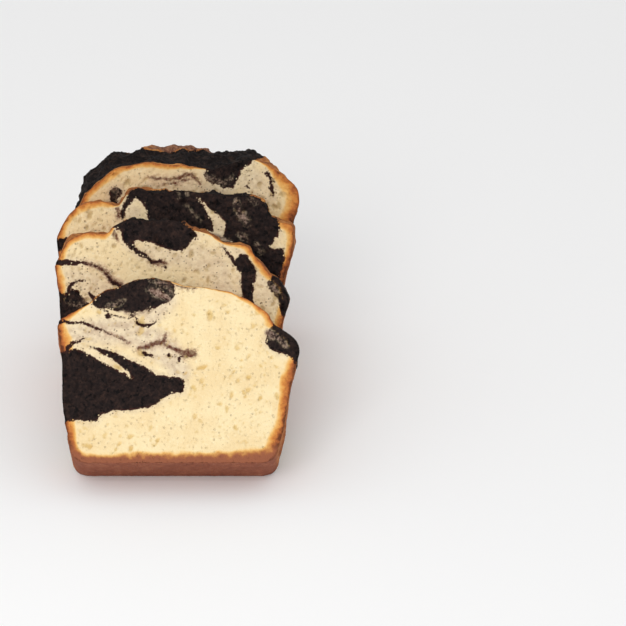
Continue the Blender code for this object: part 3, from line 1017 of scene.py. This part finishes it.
def stained_crumb(n, at, crumb):
    """Crumb dulled, streaked and mixed with chocolate."""
    halo = n.times(n.step(at.choc, 3.2, 0.0), 0.42)
    dull = n.times(n.step(at.grey, 3.0, -3.0), n.plus(n.times(at.coarse, -0.30), 0.78))
    dulled = n.times(n.math("MAXIMUM", halo, dull), n.plus(n.times(at.middling, 1.1), 0.36))
    tint = n.mix(n.step(at.middling, 0.36, 0.66), (230, 213, 188), (200, 177, 152))
    crumb = n.mix(dulled, crumb, tint)
    mixed = n.mix(at.mottle, (92, 64, 56), (172, 144, 130))
    crumb = n.mix(n.times(at.mauve_part, 0.92), crumb, mixed)
    stain = n.times(n.step(at.brown, 2.4, -0.2), n.step(at.fine, 0.40, 0.60), 0.45)
    crumb = n.mix(stain, crumb, (172, 124, 104))
    swirl = n.times(n.step(n.plus(at.brown, at.ragged), 0.8, -0.4), n.plus(n.times(at.fine, 1.2), 0.26))
    return n.mix(swirl, crumb, (90, 44, 32))


def pored_crumb(n, at, crumb):
    """Painted shade in the crumb's hollows, pores and pits, dark crumbs dragged off the chocolate, and the
    relief of the pores.
    """
    # Painted shade in the crumb's hollows and pores, stronger in the coarser crumb behind; their relief
    # also goes to the bump
    hollow = n.step(n.noise(at.loaf, *HOLLOWS), 0.60, 0.70)
    crumb = n.mix(n.times(hollow, n.plus(n.times(at.coarse, 0.34), 0.20)), crumb, (168, 146, 104))
    cell, chance = n.cells(at.loaf, PORES)
    pore = n.times(n.step(cell, 0.25, 0.10), n.step(chance, 0.60, 0.70))
    crumb = n.mix(n.times(pore, n.plus(n.times(at.coarse, 0.34), 0.12)), crumb, (138, 116, 78))
    # Painted shade in the pits: golden at the front, browner in the coarser crumb behind
    pit_shade_colour = n.mix(at.coarse, (214, 180, 104), (172, 144, 92))
    crumb = n.mix(n.times(at.pit, 0.66), crumb, pit_shade_colour)
    speck, chance = n.cells(at.loaf, DRAGGED_CRUMBS)
    reach = n.math("MINIMUM", n.times(at.choc, 0.20), n.plus(n.times(at.grey, 0.06), 0.42))
    dragged = n.times(n.step(speck, 0.36, 0.18), n.step(n.plus(chance, reach), 0.56, 0.44))
    crumb = n.mix(n.times(dragged, 0.80), crumb, (84, 52, 40))
    return crumb, n.plus(n.times(pore, -1.5), n.times(hollow, -0.6))


def baked_crumb(n, at, crumb):
    """Browning that fades in from the crust, darker and redder at the foot."""
    clear = n.math("SUBTRACT", 1.0, at.mauve_part)
    baked = n.times(at.bake, clear, n.plus(n.times(at.middling, 1.3), 0.42))
    browned = n.stops(baked, (0.14, (247, 218, 160)), (0.36, (237, 184, 106)), (0.58, (216, 142, 70)),
                      (0.78, (178, 102, 54)), (0.97, (106, 58, 36)))
    spots = n.times(n.step(at.fine, 0.54, 0.68), n.step(baked, 0.35, 0.70), 0.60)
    browned = n.mix(spots, browned, (142, 78, 42))
    foot = n.times(n.step(at.up, 11.0, 3.0), n.step(baked, 0.22, 0.72))
    browned = n.mix(foot, browned, (152, 92, 66))
    return n.mix(n.step(baked, 0.03, 0.34), crumb, browned)


# Dark, middle and light patches of the walls, the base and the crown
CRUST_TONES = (((128, 70, 42), (165, 99, 58), (200, 134, 80)),
               ((132, 77, 58), (147, 88, 67), (166, 106, 80)),
               ((112, 64, 38), (168, 106, 58), (212, 150, 84)))


def baked_crust(n, at):
    """The outside of the loaf: golden brown above, redder down the walls, and dull underneath."""
    patches = n.plus(n.times(at.broad, 0.35), n.times(at.middling, 0.40), n.times(at.fine, 0.25))
    wall, base, crown = (n.stops(patches, (0.36, dark), (0.50, middle), (0.64, light))
                         for dark, middle, light in CRUST_TONES)
    crust = n.mix(n.step(n.plus(at.up, n.times(at.broad, 20.0)), 64.0, 76.0), wall, crown)
    crust = n.mix(n.step(at.up, 7.0, 1.5), crust, base)
    mixed = n.mix(at.mottle, (96, 62, 50), (150, 108, 84))
    return n.mix(n.times(at.mauve_part, 0.92), crust, mixed)


def chocolate_crumb(n, at):
    """Dark crumb, its lighter patches partly painted highlights, with black pits of painted shade, a redder
    edge, and the darker crust over it.
    """
    # Its lighter patches are partly painted highlights, partly the crumb's own uneven tone
    crumb = n.stops(n.plus(n.times(at.fine, 0.55), n.times(at.middling, 0.45)),
                    (0.36, (24, 18, 18)), (0.50, (38, 28, 26)), (0.66, (60, 43, 37)))
    # Black pits of painted shade
    pits = n.step(n.noise(at.loaf, *BLACK_PIT_SHADE), 0.44, 0.37)
    crumb = n.mix(n.times(pits, 0.9), crumb, (9, 7, 8))
    crumb = n.mix(n.times(n.step(at.choc, -1.0, 0.1), 0.60), crumb, (78, 38, 30))
    crust = n.stops(n.plus(n.times(at.middling, 0.4), n.times(at.fine, 0.6)),
                    (0.36, (11, 9, 9)), (0.50, (27, 21, 20)), (0.68, (60, 46, 39)))
    return n.mix(at.skin, crumb, crust)


def chocolate_share(n, at):
    """Where the cake is chocolate: less where cream is mixed in, and flecked with cream at its edge."""
    share = n.step(n.plus(at.choc, at.ragged), 0.22, -0.18)
    fleck, chance = n.cells(at.loaf, CREAM_FLECKS)
    edge = n.times(n.step(at.choc, -1.8, -0.2), 0.55)
    flecks = n.times(n.step(fleck, 0.40, 0.20), n.step(n.plus(chance, edge), 1.12, 1.26))
    mixed = n.times(at.mauve_part, at.mottle, 0.78)
    return n.times(share, n.math("SUBTRACT", 1.0, n.math("MAXIMUM", mixed, flecks)))


def cake_material():
    n = Nodes("marbled_cake")
    at = facts_for(n)
    crumb, pores = pored_crumb(n, at, stained_crumb(n, at, cream_crumb(n, at)))
    pale = n.mix(at.skin, baked_crumb(n, at, crumb), baked_crust(n, at))
    n.feed(n.shader.inputs["Base Color"], n.mix(chocolate_share(n, at), pale, chocolate_crumb(n, at)))
    n.feed(n.shader.inputs["Roughness"], n.plus(n.times(at.grain, GRAIN_ROUGHNESS), ROUGHNESS))
    n.shader.inputs["Specular IOR Level"].default_value = SPECULAR
    relief = n.plus(n.times(at.grain, 0.6), at.fine, pores)
    n.feed(n.shader.inputs["Normal"], n.bump(relief, *BUMP))
    return n.material


cake = cake_material()
for slice_index in range(len(STANCES)):
    make_slice(slice_index, cake)


# ------ floor, light and camera

# Places and sizes in metres, power in watts
FLOOR_SIZE = 6.0
FLOOR_TONE = 0.93
WORLD_STRENGTH = 0.80
KEY_PLACE = (-0.30, -1.00, 0.78)
KEY_AIM = (0.0, 0.0, 0.04)
KEY_WIDTH = 0.7
KEY_POWER = 5.4
SENSOR = 36.0  # the camera's, in millimetres


def add_floor():
    bpy.ops.mesh.primitive_plane_add(size=FLOOR_SIZE)
    floor = bpy.context.object
    floor.name = "floor"
    material = bpy.data.materials.new("floor")
    material.use_nodes = True
    shader = material.node_tree.nodes["Principled BSDF"]
    shader.inputs["Base Color"].default_value = (FLOOR_TONE, FLOOR_TONE, FLOOR_TONE, 1.0)
    shader.inputs["Roughness"].default_value = 0.9
    floor.data.materials.append(material)


def add_light():
    light = bpy.data.lights.new("key", "AREA")
    light.size = KEY_WIDTH
    light.energy = KEY_POWER
    lamp = bpy.data.objects.new("key", light)
    lamp.location = KEY_PLACE
    lamp.rotation_euler = (Vector(KEY_AIM) - Vector(KEY_PLACE)).to_track_quat("-Z", "Y").to_euler()
    bpy.context.collection.objects.link(lamp)


def add_world():
    world = bpy.data.worlds.new("studio")
    world.use_nodes = True
    world.node_tree.nodes["Background"].inputs["Color"].default_value = (1.0, 1.0, 1.0, 1.0)
    world.node_tree.nodes["Background"].inputs["Strength"].default_value = WORLD_STRENGTH
    bpy.context.scene.world = world


def add_camera():
    camera = bpy.data.objects.new("camera", bpy.data.cameras.new("camera"))
    camera.location = camera_place()[0]
    camera.rotation_euler = (math.pi / 2 - ELEVATION, 0.0, 0.0)
    camera.data.sensor_width = SENSOR
    camera.data.lens = SENSOR * FOCAL_PIXELS / PICTURE
    camera.data.clip_start = 0.05
    camera.data.clip_end = 20.0
    bpy.context.collection.objects.link(camera)
    bpy.context.scene.camera = camera


add_floor()
add_world()
add_light()
add_camera()
bpy.context.scene.view_settings.view_transform = "Standard"
